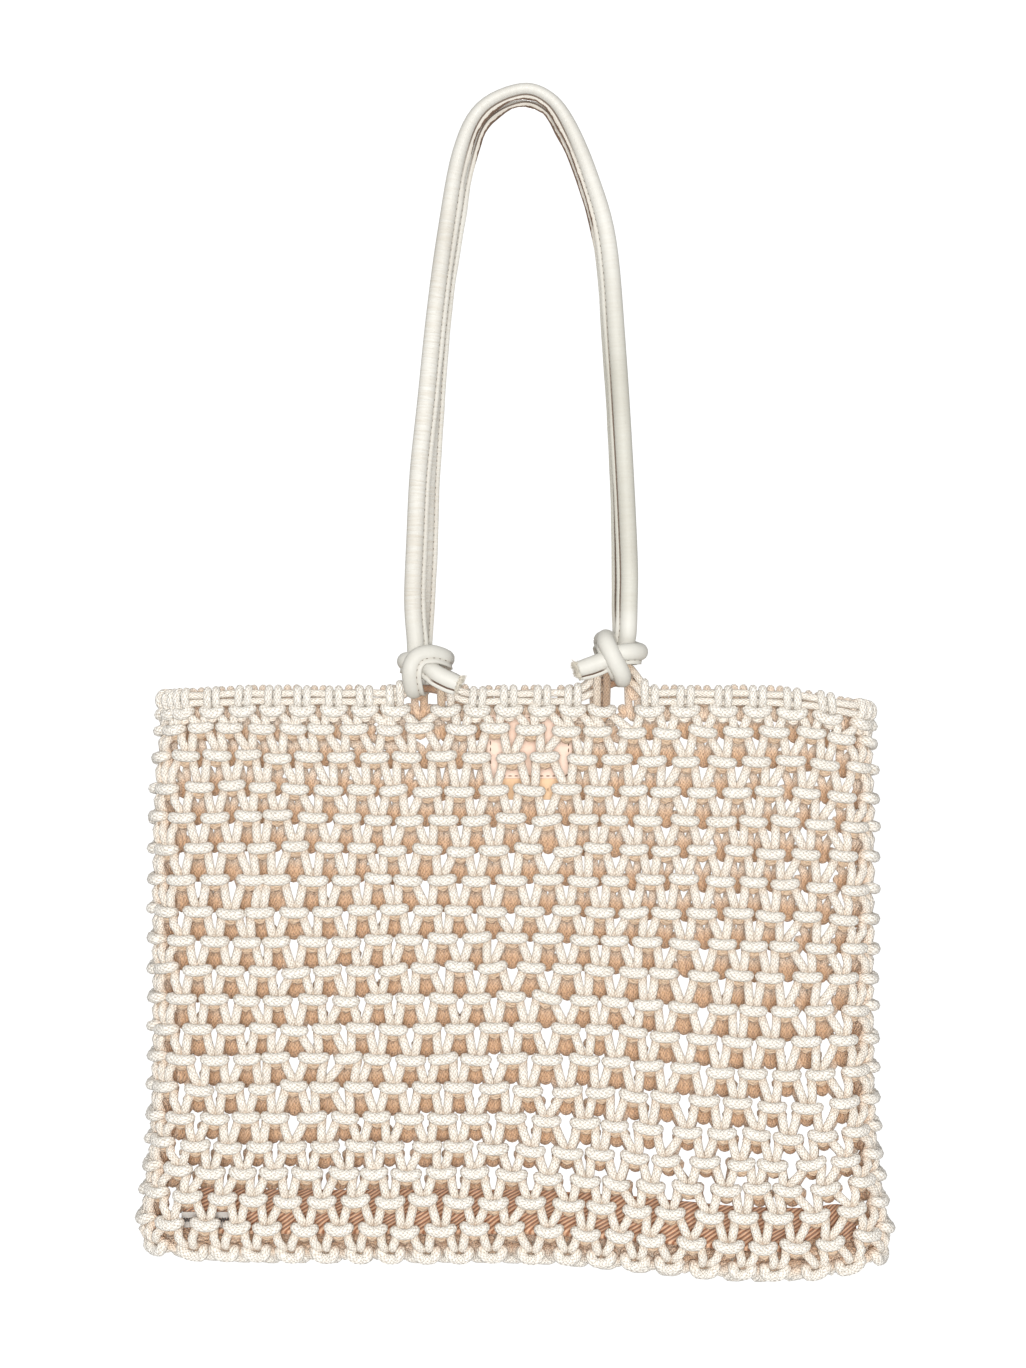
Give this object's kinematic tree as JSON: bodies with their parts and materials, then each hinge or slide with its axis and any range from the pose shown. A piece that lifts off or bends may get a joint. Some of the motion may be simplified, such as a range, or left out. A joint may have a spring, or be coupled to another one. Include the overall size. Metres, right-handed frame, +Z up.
{
  "type": "tote bag",
  "caption": "Open knotted-net cotton tote with a soft rectangular body and slim leather tube shoulder handles tied to its rim cords.",
  "frame": {"origin": "the point it hangs from, midway between the two handles under their tops", "axes": "+Z up, +X to the right seen from the front, the front faces -Y"},
  "size_m": [0.376, 0.0974, 0.603],
  "materials": {
    "cotton_net": "matt braided cotton cord",
    "cotton_cord": "matt braided cotton cord",
    "handle_leather": "smooth satin ivory leather",
    "patch_leather": "smooth pale peach leather",
    "tab_leather": "smooth golden tan leather",
    "twill": "matt cotton twill with diagonal ribs",
    "zip_tape": "grey woven zip tape"
  },
  "bodies": {
    "root": {"net_body": "cotton_net", "rim_cord_upper": "cotton_cord", "rim_cord_lower": "cotton_cord", "handle_front": "handle_leather", "handle_back": "handle_leather", "inner_patch": "patch_leather", "inner_tab": "tab_leather", "twill_pouch": "twill", "pouch_zip": "zip_tape"}
  },
  "joints": []
}
